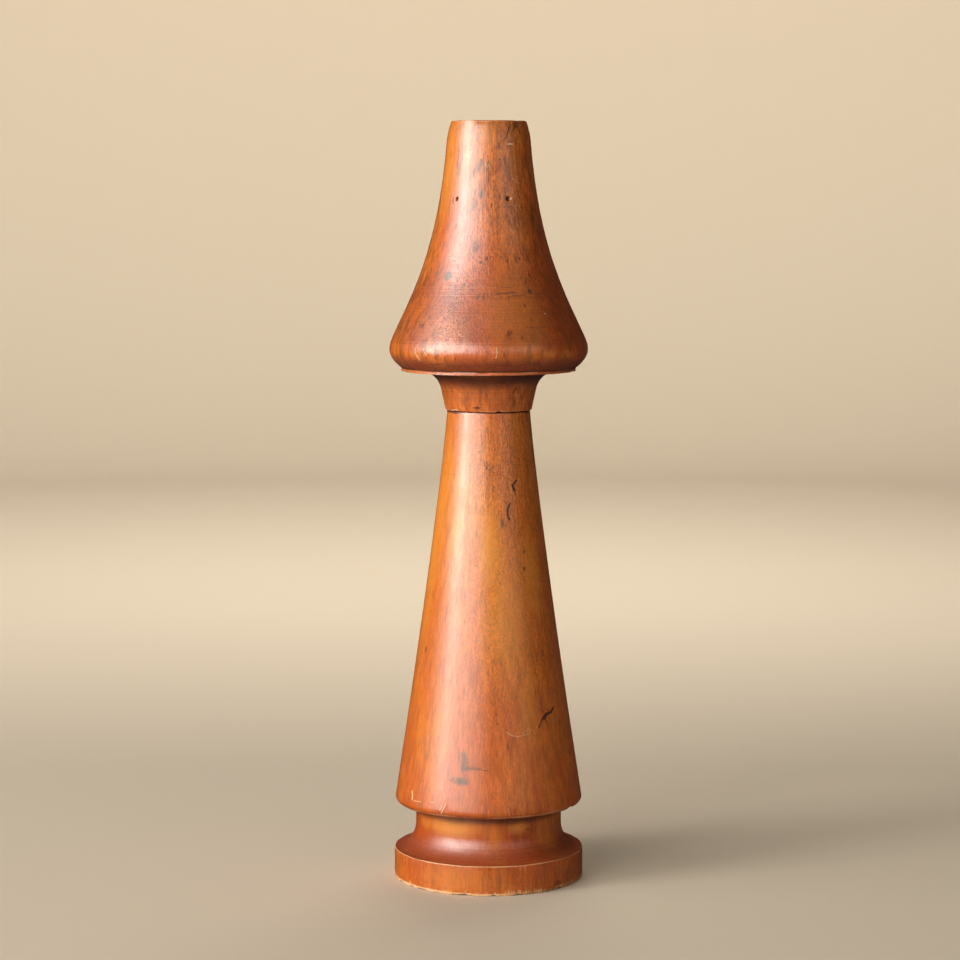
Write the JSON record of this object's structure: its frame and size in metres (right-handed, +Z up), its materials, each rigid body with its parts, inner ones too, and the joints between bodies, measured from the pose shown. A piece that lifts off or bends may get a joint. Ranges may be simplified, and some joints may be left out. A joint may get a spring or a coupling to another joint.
{
  "type": "roof finial",
  "caption": "Turned wooden roof finial: a bell-shaped cap with a rounded lip and coved collar on a tapering stem with an undercut skirt and a round foot.",
  "frame": {"origin": "centre of the foot's flat underside", "axes": "+Z up the turning axis towards the cap's flat top; X and Y level, -Y towards the viewer of the picture"},
  "size_m": [0.1196, 0.1196, 0.457],
  "materials": {
    "stem_wood": "old amber varnish over fine straight-grained wood, satin gloss, worn at the arrises",
    "cap_wood": "old red-brown varnish over fine straight-grained wood, satin gloss, stained and chipped"
  },
  "bodies": {
    "root": {"stem": "stem_wood", "cap": "cap_wood"}
  },
  "joints": []
}
